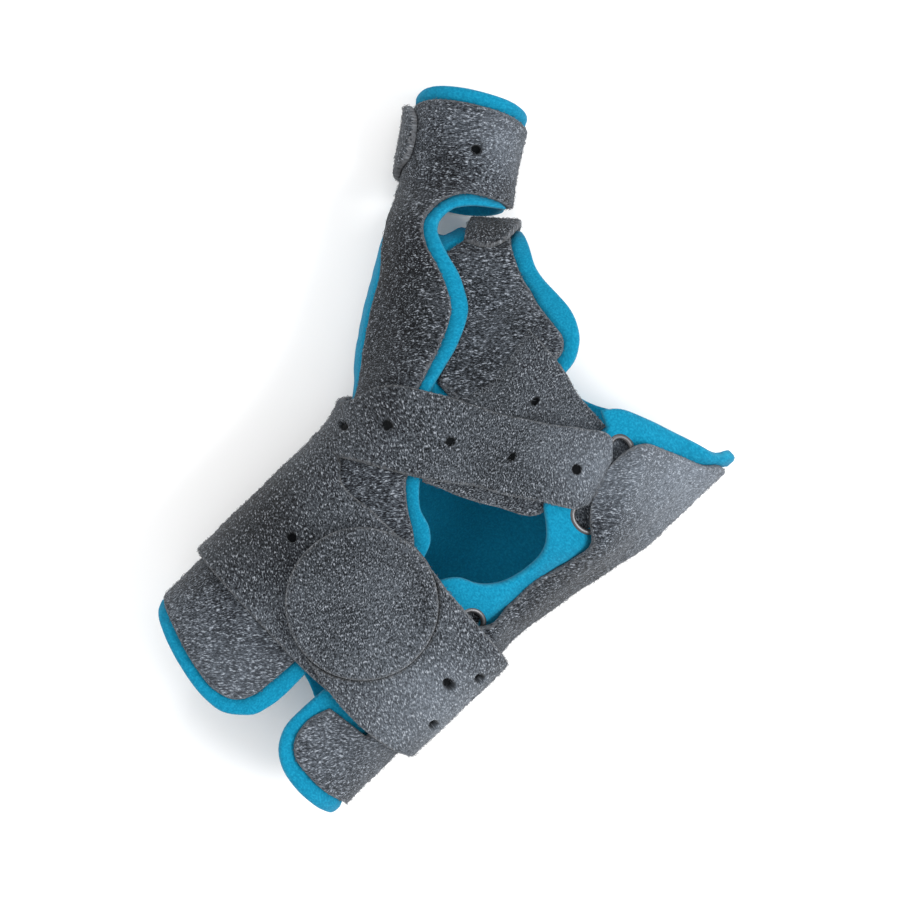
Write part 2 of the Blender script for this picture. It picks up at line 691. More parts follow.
# %% Felt, loop cloth, strap cloth and metal
# deep tone, lifted tone, fibre tips and cut edge
FELT_TONES = ((0.0012, 0.150, 0.262), (0.0035, 0.205, 0.345), (0.02, 0.28, 0.43), (0.02, 0.27, 0.42))
LOOP_TONES = ((0.004, 0.005, 0.007), (0.082, 0.095, 0.113), (0.46, 0.50, 0.56), (0.16, 0.165, 0.175))
STRAP_TONES = ((0.005, 0.006, 0.008), (0.092, 0.106, 0.124), (0.48, 0.51, 0.56), (0.18, 0.185, 0.195))
FELT = cloth("blue felt", *FELT_TONES, dash=(0.5, 0.6), bump=0.2, sheen=0.05, tip_part=0.3, laid=False)
LOOP = cloth("grey loop cloth", *LOOP_TONES, dash=(0.85, 0.33), turn=-46.0, bump=0.9, sheen=0.1, tip_part=0.6,
             across=True)
STRAP_CLOTH = cloth("grey strap cloth", *STRAP_TONES, dash=(0.34, 0.6), turn=38.0, bump=0.9, sheen=0.1,
                    tip_part=0.6)
RING_METAL = bpy.data.materials.new("slot ring metal")
RING_METAL.use_nodes = True
shader = RING_METAL.node_tree.nodes["Principled BSDF"]
shader.inputs["Base Color"].default_value = (0.10, 0.10, 0.105, 1.0)
shader.inputs["Metallic"].default_value = 0.85
shader.inputs["Roughness"].default_value = 0.38
print("finishes", [m.name for m in (FELT, LOOP, STRAP_CLOTH, RING_METAL)])

# %% [markdown]
# ## The wrist and palm sheet
# One big piece goes from the flap on the thumb's side, under the heel of the hand, and up
# again to the flap with the two slots. Between the flaps the back of the wrist stays bare.
# The felt is a little wider than the loop cloth and shows as a blue trim on every edge.

# %% Edges of the wrist and palm sheet
R_EDGE = [(4.0, -76.1), (4.3, -63.1), (4.1, -40.0), (3.9, -22.8), (2.6, -19.7), (0.1, -17.4),
          (-5.7, -15.2), (-9.9, -11.3), (-13.0, -7.0), (-15.5, -4.0)]
R_TAB = [(-34.4, -78.6), (-30.5, -81.7), (-18.6, -85.5), (-8.5, -86.6), (-3.0, -85.6), (1.0, -82.5),
         (2.6, -80.7)]
R_COVER = [(-0.2, -72.0), (0.4, -50.0), (0.2, -22.8), (-2.0, -21.0), (-7.1, -18.0), (-13.3, -12.8),
           (-17.0, -6.0)]
R_TAB_COVER = [(-34.4, -77.6), (-29.4, -79.6), (-18.0, -82.5), (-8.0, -83.2), (-3.0, -81.0), (-0.8, -77.0)]
D_EDGE = [(8.2, 33.4), (12.2, 31.4), (12.8, 26.0), (12.6, 17.0), (14.9, 6.9), (18.0, 4.5), (21.3, 1.1),
          (23.4, -5.0), (22.9, -11.1), (20.6, -15.5), (18.2, -17.9), (13.4, -20.6), (11.6, -22.8),
          (10.6, -40.0), (10.4, -63.3), (10.0, -70.6), (10.5, -77.7)]
D_TAB = [(13.3, -82.3), (16.9, -84.7), (22.6, -86.1), (29.4, -86.0), (33.6, -84.4)]
D_FRONT = [(40.2, 50.6), (36.9, 47.6), (31.8, 45.8), (24.3, 43.1), (16.5, 40.0), (10.5, 36.5)]
D_COVER = [(21.8, 36.2), (19.8, 33.4), (19.2, 30.6), (25.0, 12.4), (28.4, 9.4), (29.3, 5.0), (29.3, -2.0),
           (28.4, -7.3), (28.2, -17.2), (27.4, -23.0), (25.1, -26.5), (27.2, -58.0), (26.0, -64.5),
           (15.0, -66.0), (13.3, -72.0), (15.3, -78.6)]
D_TAB_COVER = [(17.6, -80.5), (23.4, -81.6), (29.5, -81.6), (33.4, -80.9)]
D_FRONT_COVER = [(40.6, 45.9), (37.0, 42.9), (30.6, 40.4), (25.9, 38.3)]
SLOT_HAND = [(23.2, 12.2), (17.8, 30.2)]       # centres of the round ends
SLOT_WRIST = [(23.3, -25.6), (25.4, -58.8)]


def deg(chart, pairs):
    """Chart points from distance along it and degrees round it."""
    return [(q, math.radians(a) * chart.r) for q, a in pairs]


# where the wrist sheet stops and the thumb sheet starts, hidden below the narrow strap
SPLIT = [(-4.5, 42.0), (-9.0, 60.0), (-13.0, 76.0), (-15.5, 92.0), (-15.5, 110.0), (-14.0, 126.0),
         (-12.5, 138.0)]
# the palm side's edges, as distance along the wrist and degrees round it
PALM_SIDE = [(-6.0, 141.0), (2.0, 141.0), (14.0, 142.0), (26.0, 142.0), (32.0, 143.0)]
PALM_END = [(35.0, 150.0), (33.6, 165.0), (33.0, 182.0), (34.5, 198.0), (38.5, 215.0), (43.5, 235.0),
            (47.5, 250.0), (50.0, 263.0)]
HEEL_END = [(-83.6, 262.0), (-81.0, 250.0), (-76.5, 238.0), (-71.5, 224.0), (-68.0, 208.0), (-66.5, 190.0),
            (-66.5, 170.0), (-67.5, 152.0), (-70.5, 134.0), (-75.0, 116.0), (-78.6, 96.0)]


def wrap(points):
    """Moves the little-finger side's points on to the far end of the sheet."""
    return [(q, s + 2 * math.pi * BODY_R) for q, s in points]


plan_to_body = BODY.plan
lining_line = (
    plan_to_body(R_EDGE, LINING)
    + deg(BODY, SPLIT) + deg(BODY, PALM_SIDE) + deg(BODY, PALM_END)
    + wrap(plan_to_body(D_FRONT, LINING)) + wrap(plan_to_body(D_EDGE, LINING))
    + wrap(plan_to_body(D_TAB, LINING))
    + deg(BODY, HEEL_END) + plan_to_body(R_TAB, LINING))
INSET = 3.6
cover_split = [(q - 1.0, a) for q, a in SPLIT]
cover_split[0] = (-5.5, 45.0)
cover_palm = [(q, a + 2.5) for q, a in PALM_SIDE]
cover_palm_end = [(q - INSET, a) for q, a in PALM_END]
cover_heel = [(q + 3.4, a) for q, a in HEEL_END]
cover_line = (
    plan_to_body(R_COVER, LAYERS)
    + deg(BODY, cover_split) + deg(BODY, cover_palm) + deg(BODY, cover_palm_end)
    + wrap(plan_to_body(D_FRONT_COVER, LAYERS)) + wrap(plan_to_body(D_COVER, LAYERS))
    + wrap(plan_to_body(D_TAB_COVER, LAYERS))
    + deg(BODY, cover_heel) + plan_to_body(R_TAB_COVER, LAYERS))


def obround(a, b, r, n=5):
    """A line round a slot with round ends."""
    a, b = np.array(a, float), np.array(b, float)
    d = (b - a) / np.linalg.norm(b - a)
    e = np.array([-d[1], d[0]])
    pts = []
    for k in range(n + 1):
        t = math.pi * k / n
        pts.append(b + r * (math.sin(t) * d + math.cos(t) * e))
    for k in range(n + 1):
        t = math.pi * k / n
        pts.append(a + r * (-math.sin(t) * d - math.cos(t) * e))
    return np.array(pts)


slot_hand_line = np.array(wrap(plan_to_body(SLOT_HAND, LINING)))
slot_wrist_line = np.array(wrap(plan_to_body(SLOT_WRIST, LINING)))

# %% Where the sheet rises over the strap ends and the rings
# outlines that lift one layer over another, in the chart of the wrist
hand_ring_area = obround(*slot_hand_line, RING_HALF)
wrist_ring_area = obround(*slot_wrist_line, RING_HALF)
RAISED = [(4.0, 36.0), (4.0, 6.0), (8.0, -1.0), (17.0, 0.0), (24.0, 6.0), (28.0, 10.0), (22.0, 34.0)]
RAISED = np.array(wrap(plan_to_body(RAISED, 2.0)))
RAISE = 2 * (THIN + GAP)


def body_lift(v, p):
    """Height of the wrist sheet's underside: it rises over the strap ends below the slotted flap."""
    return RAISE * lap(RAISED, v, 11.0)


def cover_lift(v, p):
    """The cover rises with the sheet, and once more over the rings."""
    ring = np.maximum(lap(hand_ring_area, v, 6.0), lap(wrist_ring_area, v, 6.0))
    return body_lift(v, p) + (RING_TALL + GAP - 0.1) * ring


body_trim = soft_line(lining_line)
body_grey = soft_line(cover_line)
VALLEY = [(31.6, -21.7), (33.6, -4.5), (35.1, 11.4), (36.6, 27.3), (37.3, 37.1)]
VALLEY_DEEP, VALLEY_WIDE = 1.3, 2.6
RIDGE = [(22.4, 30.6), (24.3, 21.8), (28.0, 11.3)]
RIDGE_HIGH, RIDGE_WIDE = 1.5, 2.2


def fold_height(p, line, width):
    """One along an open line seen from above, fading to nothing beside it."""
    away = line_distance(np.array(line, float), p[:, :2])
    return np.exp(-(away / width) ** 2) * step((p[:, 2] + 6) / 10.0)


def valley(p):
    """Depth of the long fold in the slotted flap."""
    return VALLEY_DEEP * fold_height(p, VALLEY, VALLEY_WIDE)


def body_low(v, p):
    """Underside of the felt."""
    return body_lift(v, p) - valley(p)


def trim_height(grey, v):
    """The felt swells where nothing presses on it."""
    return LINING + 0.15 + 1.25 * step((-signed(grey, v) - 0.1) / 0.9)


def slot_dip(v):
    """The cover sinks into the hand slot along its cut edge."""
    return 1.5 * np.exp(-(line_distance(slot_hand_line, v) / 1.9) ** 2)


def grey_low(v, p):
    """Underside of the cover."""
    return cover_lift(v, p) - valley(p) + LINING + 0.2


def grey_top(v, p):
    """Upper side of the cover, with its fold, its ridge and the dip into the slot."""
    crest = RIDGE_HIGH * fold_height(p, RIDGE, RIDGE_WIDE)
    return cover_lift(v, p) + COVER_AT + COVER - valley(p) + crest - slot_dip(v)


def felt_top(v, p):
    """Upper side of the felt, which swells outside the cover."""
    return body_low(v, p) + trim_height(body_grey, v)


hand_slot_hole = resample(obround(*slot_hand_line, SLOT_HALF + 0.5, 12), 1.2)
wrist_slot_hole = resample(obround(*slot_wrist_line, SLOT_HALF + 0.5, 12), 1.2)
print("trim line", len(body_trim), "points, cover line", len(body_grey))

# %% Felt and cover of the wrist and palm
felt = layer("wrist_and_palm_felt", on(BODY), body_low, felt_top, body_trim, FELT,
             [hand_slot_hole, wrist_slot_hole], cell=1.7)
worn(felt, "body_lining")
grey = layer("wrist_and_palm_loop_cloth", on(BODY), grey_low, grey_top, body_grey, LOOP, cell=1.6)
worn(grey, "body_cover")

# %% [markdown]
# ## Dark backing behind the slots
# Through an open slot one doesn't see daylight but the dark end of the strap cloth behind
# it. A small oval patch under the felt gives that depth.

# %% Slot backings
for name, line in (("hand_slot_backing", slot_hand_line), ("wrist_slot_backing", slot_wrist_line)):
    patch = layer(name, on(BODY), lambda v, p: body_lift(v, p) - 1.0, lambda v, p: body_lift(v, p) - 0.25,
                  soft_line(resample(obround(line[0], line[1], 4.2, 10), 1.6)), STRAP_CLOTH, cell=1.5)
    worn(patch, "body_lining")

# %% [markdown]
# ## The thumb strip and its cuff
# A stiff strip runs up the outer side of the thumb and closes round it in a cuff. It is
# laid on a chart along the thumb, and lies over the web flap where the two meet.

# %% Edges of the thumb strip
TRIM_OUT = [(-43.9, 52.9), (-47.8, 49.4), (-51.6, 45.6), (-53.5, 42.1), (-53.2, 38.1), (-51.0, 34.9),
            (-49.1, 33.8), (-45.5, 32.5), (-41.1, 31.3), (-36.7, 28.7), (-31.7, 24.0), (-27.7, 18.5),
            (-25.6, 12.4), (-23.8, 6.7), (-20.5, 1.5)]
TRIM_IN = [(-44.6, 53.4), (-47.0, 52.4), (-50.7, 50.4), (-54.9, 46.9), (-56.7, 43.0), (-56.9, 39.0),
           (-55.4, 35.0), (-50.8, 31.1), (-46.2, 29.5), (-41.8, 27.7), (-38.2, 25.5), (-34.2, 21.4),
           (-30.4, 15.0), (-27.4, 7.5), (-24.5, 1.0)]
WEB_RIM = [(-37.1, 51.4), (-33.3, 49.6), (-29.4, 47.6), (-24.8, 46.6), (-19.1, 46.4), (-14.9, 46.0),
           (-11.5, 44.8), (-7.4, 41.7), (-5.0, 37.5), (-4.6, 34.6), (-5.0, 26.0), (-7.0, 15.0), (-9.0, 11.0),
           (-15.0, 8.0), (-21.0, 5.5), (-27.0, 6.5), (-30.5, 12.0), (-34.5, 18.5), (-39.0, 24.0),
           (-43.5, 28.0), (-50.0, 31.5), (-52.5, 34.2), (-50.3, 35.8), (-49.6, 39.5)]
WEB_GREY = [(-39.8, 49.2), (-36.7, 46.7), (-32.0, 44.2), (-26.7, 42.3), (-19.9, 40.9), (-15.7, 40.4),
            (-11.2, 39.6), (-9.2, 37.6), (-8.6, 34.0), (-9.0, 26.0), (-11.0, 15.0), (-13.0, 12.0),
            (-18.0, 9.5), (-25.0, 9.5), (-28.0, 14.0), (-32.0, 20.0), (-36.5, 25.0), (-41.0, 29.5),
            (-46.6, 33.0), (-46.6, 39.0), (-45.4, 43.0)]
WEB_PLAN = np.array(WEB_RIM)
STRIP_PLAN = np.array(TRIM_OUT + [(-30.0, -4.0), (-45.0, 5.0), (-60.0, 30.0), (-62.0, 50.0)])


def strip_lift(v, p):
    """The thumb strip's height: it lies over the web flap's left side."""
    return ON_BODY * lap(WEB_PLAN, p[:, :2], 13.0, 0.9) * step((p[:, 2] + 9) / 10.0)


split_q, split_s = zip(*deg(BODY, SPLIT[:4]))
split_p = BODY.cast([q + 1.0 for q in split_q], split_s)
sq, ss = THUMB_CHART.coords(split_p)
split_thumb = [(float(a), float(b)) for a, b in zip(sq, ss)]
BOTTOM = 67.6
cuff_rim = [(93.2, 119), (93.3, 95), (93.6, 75), (95.0, 50), (95.5, 20), (95.3, -15), (94.8, -45),
            (93.8, -75), (93.2, -110), (93.0, -150), (93.0, -195), (93.2, -236)]
cuff_low = [(BOTTOM, -236), (BOTTOM, -200), (BOTTOM, -160), (BOTTOM + 0.6, -125), (BOTTOM + 1.3, -100)]
strip_left = [(8.0, 90), (20.0, 90), (35.0, 91), (50.0, 91), (60.0, 92), (65.5, 95), (67.0, 119)]
plan_to_thumb = THUMB_CHART.plan
thumb_line = (deg(THUMB_CHART, cuff_rim) + deg(THUMB_CHART, cuff_low) + plan_to_thumb(TRIM_OUT, LINING)
              + split_thumb + deg(THUMB_CHART, strip_left))
split_cover = [(q + 0.8, s) for q, s in split_thumb[:-1]] + [(8.3, math.radians(64) * THUMB_R)]
grey_left = [(10.5, 62), (20.0, 58), (35.0, 56), (50.0, 58), (58.0, 63), (64.0, 72), (68.5, 119)]
grey_rim = [(q - 3.6, a) for q, a in cuff_rim]
grey_cuff_low = [(BOTTOM + 3.2, -236), (BOTTOM + 3.2, -200), (BOTTOM + 3.2, -160),
                 (BOTTOM + 2.6, -125), (BOTTOM + 2.2, -98)]
thumb_cover_line = (deg(THUMB_CHART, grey_rim) + deg(THUMB_CHART, grey_cuff_low)
                    + plan_to_thumb(TRIM_IN, LAYERS) + split_cover + deg(THUMB_CHART, grey_left))

# %% Felt and cover of the thumb
CUFF_MARK = (-60.4, 57.4)
thumb_grey = soft_line(thumb_cover_line, 1.1)
thumb_felt = layer("thumb_felt", on(THUMB_CHART), strip_lift,
                   lambda v, p: strip_lift(v, p) + trim_height(thumb_grey, v),
                   soft_line(thumb_line, 1.1), FELT, cell=1.25)
worn(thumb_felt, "thumb_lining")
thumb_loop = layer("thumb_loop_cloth", on(THUMB_CHART), lambda v, p: strip_lift(v, p) + LINING + 0.2,
                   lambda v, p: strip_lift(v, p) + COVER_AT + 0.1 + COVER, thumb_grey, LOOP, cell=1.25,
                   dents=THUMB_CHART.plan([CUFF_MARK], LAYERS))
worn(thumb_loop, "thumb_cover")

# %% [markdown]
# ## The web flap
# A soft flap comes from the palm through the gap between thumb and hand and folds on to
# the back of the hand. Its end is hidden below the strip, the straps and the slotted flap.
# Two short tabs close it: one on the thumb cuff and one on the flap's upper end.

# %% The web flap and the two closing tabs
plan_to_web = WEB_CHART.plan
web_palm = [(-9.0, 98), (-8.8, 112), (-9.0, 150), (-8.5, 190), (-7.0, 222), (-4.5, 227), (4.0, 214),
            (9.0, 202), (11.0, 194), (11.0, 180), (10.0, 150), (8.0, 120), (7.2, 100)]
web_palm_grey = [(-3.6, 80), (-5.0, 110), (-6.0, 150), (-5.0, 190), (-3.5, 214), (3.0, 205), (7.5, 190),
                 (7.5, 178), (6.6, 150), (4.6, 120), (3.9, 100)]
web_line = plan_to_web(WEB_RIM, LINING) + deg(WEB_CHART, web_palm)
web_grey = plan_to_web(WEB_GREY, LAYERS) + deg(WEB_CHART, web_palm_grey)


def level(height):
    """The same height everywhere."""
    return lambda v, p: np.full(len(v), float(height))


web_loop_line = soft_line(web_grey, 1.1)
web_felt = layer("web_felt", on(WEB_CHART), level(0), lambda v, p: trim_height(web_loop_line, v),
                 soft_line(web_line, 1.1), FELT, cell=1.25)
worn(web_felt, "web_lining")
web_loop = layer("web_loop_cloth", on(WEB_CHART), level(LINING + 0.2), level(COVER_AT + 0.1 + COVER),
                 web_loop_line, LOOP, cell=1.25)
worn(web_loop, "web_cover")
tab_line = [(90.5, 150), (91.0, 100), (90.8, 78), (89.6, 62), (87.0, 53), (82.9, 50), (79.0, 51),
            (75.8, 57), (73.6, 74), (72.0, 95), (72.0, 150)]
tab_line = deg(THUMB_CHART, tab_line + [(76.0, 160), (86.0, 160)])
WEB_TAB = [(-46.7, 39.8), (-43.2, 41.2), (-41.0, 43.1), (-39.6, 47.1), (-39.7, 50.9)]
WEB_TAB_END = [(6.6, 100), (5.5, 122), (0.0, 126), (-5.0, 122), (-6.0, 100)]
web_tab_line = plan_to_web(WEB_TAB, ON_BODY + 1.5) + deg(WEB_CHART, WEB_TAB_END)
tab_at = ON_BODY + 0.1
thumb_tab = layer("thumb_closing_tab", on(THUMB_CHART), level(tab_at - 0.6), level(tab_at + 1.5),
                  soft_line(tab_line, 1.0), STRAP_CLOTH, cell=1.3)
worn(thumb_tab, "thumb_tab")
web_tab = layer("web_closing_tab", on(WEB_CHART), level(ON_BODY - 0.6), level(ON_BODY + 1.5),
                soft_line(web_tab_line, 1.0), STRAP_CLOTH, cell=1.3)
worn(web_tab, "web_tab")

# %% [markdown]
# ## The slot rings
# Each strap slot is guarded by a pressed metal ring with rounded ends. The ring is one
# profile carried round an oval path, and it follows the flap's curve underneath it.

# %% Helpers for geometry trees
def node_tree(name, inputs):
    """A geometry tree with named inputs; gives back the tree, its input and its output node."""
    tree = bpy.data.node_groups.new(name, "GeometryNodeTree")
    tree.interface.new_socket(name="Shape", in_out="INPUT", socket_type="NodeSocketGeometry")
    for label, kind, value in inputs:
        sock = tree.interface.new_socket(name=label, in_out="INPUT", socket_type=kind)
        if value is not None:
            sock.default_value = value
    tree.interface.new_socket(name="Shape", in_out="OUTPUT", socket_type="NodeSocketGeometry")
    return tree, tree.nodes.new("NodeGroupInput"), tree.nodes.new("NodeGroupOutput")


def wired(tree, kind, **links):
    """Adds a node and wires or sets its inputs by socket identifier."""
    node = tree.nodes.new(kind)
    for key, value in links.items():
        sock = next(x for x in node.inputs if x.identifier == key)
        if isinstance(value, bpy.types.NodeSocket):
            tree.links.new(value, sock)
        else:
            sock.default_value = value
    return node


def named(tree, label, kind="FLOAT_VECTOR"):
    """Reads an attribute of the mesh by its name."""
    node = tree.nodes.new("GeometryNodeInputNamedAttribute")
    node.data_type = kind
    node.inputs["Name"].default_value = label
    return node.outputs["Attribute"]


def grown(source, tree, values, name):
    """Runs a tree on an object and gives back the result as a plain mesh object."""
    mod = source.modifiers.new("made", "NODES")
    mod.node_group = tree
    for item in tree.interface.items_tree:
        if item.item_type == "SOCKET" and item.in_out == "INPUT" and item.name in values:
            mod[item.identifier] = values[item.name]
    seen = source.evaluated_get(bpy.context.evaluated_depsgraph_get())
    mesh = bpy.data.meshes.new_from_object(seen)
    source.modifiers.remove(mod)
    obj = bpy.data.objects.new(name, mesh)
    bpy.context.scene.collection.objects.link(obj)
    print(name, "faces", len(mesh.polygons))
    return obj


def path_object(name, points, ups, closed):
    """A line of points in the row frame, with the direction away from the cloth kept on each."""
    mesh = bpy.data.meshes.new(name)
    count = len(points)
    edges = [(i, (i + 1) % count) for i in range(count if closed else count - 1)]
    mesh.from_pydata([tuple(p) for p in (points + ROW) * MM], edges, [])
    up = mesh.attributes.new("up", "FLOAT_VECTOR", "POINT")
    up.data.foreach_set("vector", np.array(ups).ravel())
    obj = bpy.data.objects.new(name, mesh)
    bpy.context.scene.collection.objects.link(obj)
    return obj


def dress(tree, shape, given, made):
    """The end of every tree: real geometry with its finish on."""
    real = wired(tree, "GeometryNodeRealizeInstances", Geometry=shape)
    dressed = wired(tree, "GeometryNodeSetMaterial", Geometry=real.outputs[0],
                    Material=given.outputs["Finish"])
    tree.links.new(dressed.outputs[0], made.inputs["Shape"])

# %% The pressed ring tree
pressed, a, b = node_tree("pressed ring", [("Width", "NodeSocketFloat", RING_WIDE * MM),
                                           ("Height", "NodeSocketFloat", RING_TALL * MM),
                                           ("Finish", "NodeSocketMaterial", None)])
line = wired(pressed, "GeometryNodeMeshToCurve", Mesh=a.outputs["Shape"])
upright = wired(pressed, "GeometryNodeSetCurveNormal", Curve=line.outputs[0], Normal=named(pressed, "up"))
upright.mode = "FREE"
round_wire = wired(pressed, "GeometryNodeCurvePrimitiveCircle", Resolution=14, Radius=0.5)
size = pressed.nodes.new("ShaderNodeCombineXYZ")
pressed.links.new(a.outputs["Height"], size.inputs["X"])
pressed.links.new(a.outputs["Width"], size.inputs["Y"])
size.inputs["Z"].default_value = 1.0
section = wired(pressed, "GeometryNodeTransform", Geometry=round_wire.outputs[0], Scale=size.outputs[0])
swept = wired(pressed, "GeometryNodeCurveToMesh",
              **{"Curve": upright.outputs[0], "Profile Curve": section.outputs[0]})
dress(pressed, swept.outputs[0], a, b)

# %% The two rings
def slot_ring(name, line, node):
    """Carries the ring's profile round a slot and turns its faces outward."""
    path = resample(obround(line[0], line[1], 2.72, 16), 1.0)
    p = BODY.cast(path[:, 0], path[:, 1])
    n = slope(p)
    at = body_low(path, p) + LINING + 0.35 + RING_TALL / 2 + unevenness(p)
    source = path_object(name + "_path", p + n * at[:, None], n, True)
    section_size = {"Width": RING_WIDE * MM, "Height": RING_TALL * MM, "Finish": RING_METAL}
    obj = grown(source, pressed, section_size, name)
    bpy.data.objects.remove(source)
    shape = bmesh.new()
    shape.from_mesh(obj.data)
    bmesh.ops.recalc_face_normals(shape, faces=shape.faces)
    if shape.calc_volume(signed=True) < 0:
        bmesh.ops.reverse_faces(shape, faces=shape.faces)
    shape.to_mesh(obj.data)
    shape.free()
    obj.data.polygons.foreach_set("use_smooth", [True] * len(obj.data.polygons))
    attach(obj, "root")
    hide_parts(node)
    return obj


slot_ring("ring_of_the_hand_slot", slot_hand_line, "hand_slot_ring")
slot_ring("ring_of_the_wrist_slot", slot_wrist_line, "wrist_slot_ring")

# %% [markdown]
# ## The wide wrist strap
# It leaves the wrist slot, goes once round the forearm and closes on its own start with a
# round end. The punched marks are pressed into the cloth: a few rings of points round each
# one let the surface dip with a round rim, and the finish turns dark at the bottom.

# %% The wide strap's shape
TURN = 2 * math.pi * BODY_R


def wide_lift(v, p):
    """The strap starts on the cover and its second turn lies on its first."""
    lap2 = step((v[:, 1] / TURN * 360 - 262.0) / 36.0)
    return ON_BODY + (STRAP + GAP + 0.2) * lap2


start_s = [(q, s - TURN) for q, s in slot_wrist_line]
DISC_AT = (1.5, -42.0)    # middle of the round end, seen from above
DISC_R = 19.2


def disc(r, first, last, count):
    """Points of an arc round the disc's middle, moved on to the strap's second turn."""
    spots = []
    for t in np.linspace(math.radians(first), math.radians(last), count):
        spots.append((DISC_AT[0] + r * math.cos(t), DISC_AT[1] + r * math.sin(t)))
    return [(q, s + TURN) for q, s in plan_to_body(spots, 8.5)]


low_edge = [(-63.0, 300), (-61.0, 285), (-60.0, 270), (-61.5, 240), (-63.0, 200), (-63.0, 120),
            (-63.4, 90), (-63.8, 30), (-63.6, -20)]
top_edge = [(-24.4, -30), (-24.3, 30), (-24.3, 60), (-24.2, 74), (-24.3, 84), (-24.7, 96), (-24.6, 120),
            (-24.2, 150), (-25.0, 200), (-26.0, 250), (-27.0, 272), (-26.0, 290)]
wide_line = ([(-61.8, start_s[1][1] + 2.2), (-60.0, start_s[1][1] + 2.2), (-26.5, start_s[0][1] + 2.0)]
             + deg(BODY, top_edge) + disc(DISC_R, 105, -105, 15) + deg(BODY, low_edge))


def punched(chart, spots, off):
    """Middles of punched holes, from points seen from above to the chart."""
    return [chart.plan([spot], off)[0] for spot in spots]


wide_holes = punched(BODY, [(-22.3, -43.3)], 5.0)
outer_holes = punched(BODY, [(30.8, -40.6), (35.6, -34.3), (35.9, -50.6)], 8.0)
wide_holes += [(q, s + TURN) for q, s in outer_holes]
print("holes at", np.round(wide_holes, 1).tolist(), "turn", round(TURN, 1))

# %% The wide strap and its round end
JOIN = deg(BODY, [(-24.3, 56), (-21.8, 61), (-20.6, 70), (-20.4, 90), (-21.2, 106), (-24.6, 118)])
k_join = wide_line.index(deg(BODY, [(-24.3, 60)])[0])
joined_line = wide_line[:k_join] + JOIN + wide_line[k_join + 5:]
wrist_strap = layer("wide_wrist_strap", on(BODY), lambda v, p: wide_lift(v, p) - 0.55,
                    lambda v, p: wide_lift(v, p) + STRAP, soft_line(joined_line), STRAP_CLOTH, cell=1.7,
                    dents=wide_holes, fade=(JOIN[1:5], 4.5, lambda v, p: wide_lift(v, p) + STRAP + 0.1))
worn(wrist_strap, "wrist_strap")


def pad_top(v, p):
    """A pressed round end: a lifted rim, a groove and a soft ring inside it."""
    at = p + slope(p) * 8.5
    r = np.hypot(at[:, 0] - DISC_AT[0], at[:, 1] - DISC_AT[1])
    rim = 0.75 * np.exp(-((r - 17.0) / 1.2) ** 2)
    groove = -0.6 * np.exp(-((r - 14.6) / 0.9) ** 2)
    inner = 0.3 * np.exp(-((r - 12.6) / 1.1) ** 2)
    return wide_lift(v, p) + STRAP + GAP + 0.75 + rim + groove + inner


round_end_pad = layer("round_strap_end", on(BODY), lambda v, p: wide_lift(v, p) + STRAP + 0.05, pad_top,
                      soft_line(disc(DISC_R - 0.4, 0, 352, 45), 1.0), STRAP_CLOTH, cell=0.9, soft=1.4)
worn(round_end_pad, "wrist_strap_end")

# %% [markdown]
# ## The web strap
# A short wide strap sewn on the web flap. Its end shows a zigzag seam on the back of the
# hand, and its other end goes below the slotted flap.

# %% The web strap
WEB_STRAP_OVER = [(-17.0, 11.6), (-17.1, 14.4), (-15.9, 20.0), (-17.3, 27.0), (-19.4, 34.9),
                  (-15.6, 35.0), (-8.6, 34.6)]
WEB_STRAP_REST = [(-3.7, 33.7), (1.2, 32.9), (6.9, 32.5), (12.3, 32.3), (12.0, 22.0), (12.0, 12.0),
                  (0.0, 11.5), (-12.0, 11.6)]


def web_strap_low(v, p):
    """The web strap lies on the web flap and then on the hand."""
    return ON_BODY * lap(WEB_PLAN, p[:, :2], 5.0, 0.9)


web_strap_line = plan_to_body(WEB_STRAP_OVER, ON_BODY + 1.0) + plan_to_body(WEB_STRAP_REST, 3.0)
web_strap = layer("web_strap_piece", on(BODY), lambda v, p: web_strap_low(v, p) - 0.45,
                  lambda v, p: web_strap_low(v, p) + THIN, soft_line(web_strap_line, 1.1), STRAP_CLOTH,
                  cell=1.3, dents=punched(BODY, [(-4.8, 23.7)], 6.0),
                  fade=(web_strap_line[:5], 3.5, lambda v, p: web_strap_low(v, p) - 0.1))
worn(web_strap, "web_strap")

# %% [markdown]
# ## The narrow hand strap
# It comes from under the slotted flap, goes up through the slot, folds back over the ring
# and runs across the back of the hand and round to the palm. One flat strip is cut, and a
# rule bends it: past the slot's line the strip turns down through the slot and runs back.

# %% The narrow strap's path
NARROW_UPPER = [(15.1, 30.6), (8.7, 27.5), (3.6, 23.4), (-2.8, 19.0), (-8.1, 15.2), (-14.0, 12.1),
                (-18.5, 9.2), (-24.7, 5.1), (-29.7, 2.1)]
NARROW_LOWER = [(-32.0, -22.2), (-25.5, -18.7), (-14.7, -12.4), (-9.7, -9.3), (1.2, -1.0), (5.8, 1.4),
                (14.7, 7.7), (19.0, 10.5)]
STRAP_ON_WEB = np.array([(-17.5, 11.0), (-17.5, 35.0), (-5.0, 35.0), (-5.0, 11.0)])
FOLD_R = 1.3
UNDER_AT = THIN + GAP


def narrow_low(v, xy):
    """The narrow strap rises over all that it crosses."""
    strip = (ON_BODY + 0.2) * lap(WEB_PLAN, xy, 14.0, 1.2) * lap(STRIP_PLAN, xy, 9.0, 1.5)
    low = ON_BODY + 0.1 + strip + 1.7 * lap(STRAP_ON_WEB, xy, 6.0)
    wide = v + np.array([0, TURN])
    low = low + 1.9 * lap(RAISED, wide, 10.0)
    return low + 1.5 * lap(hand_ring_area, wide, 6.0)

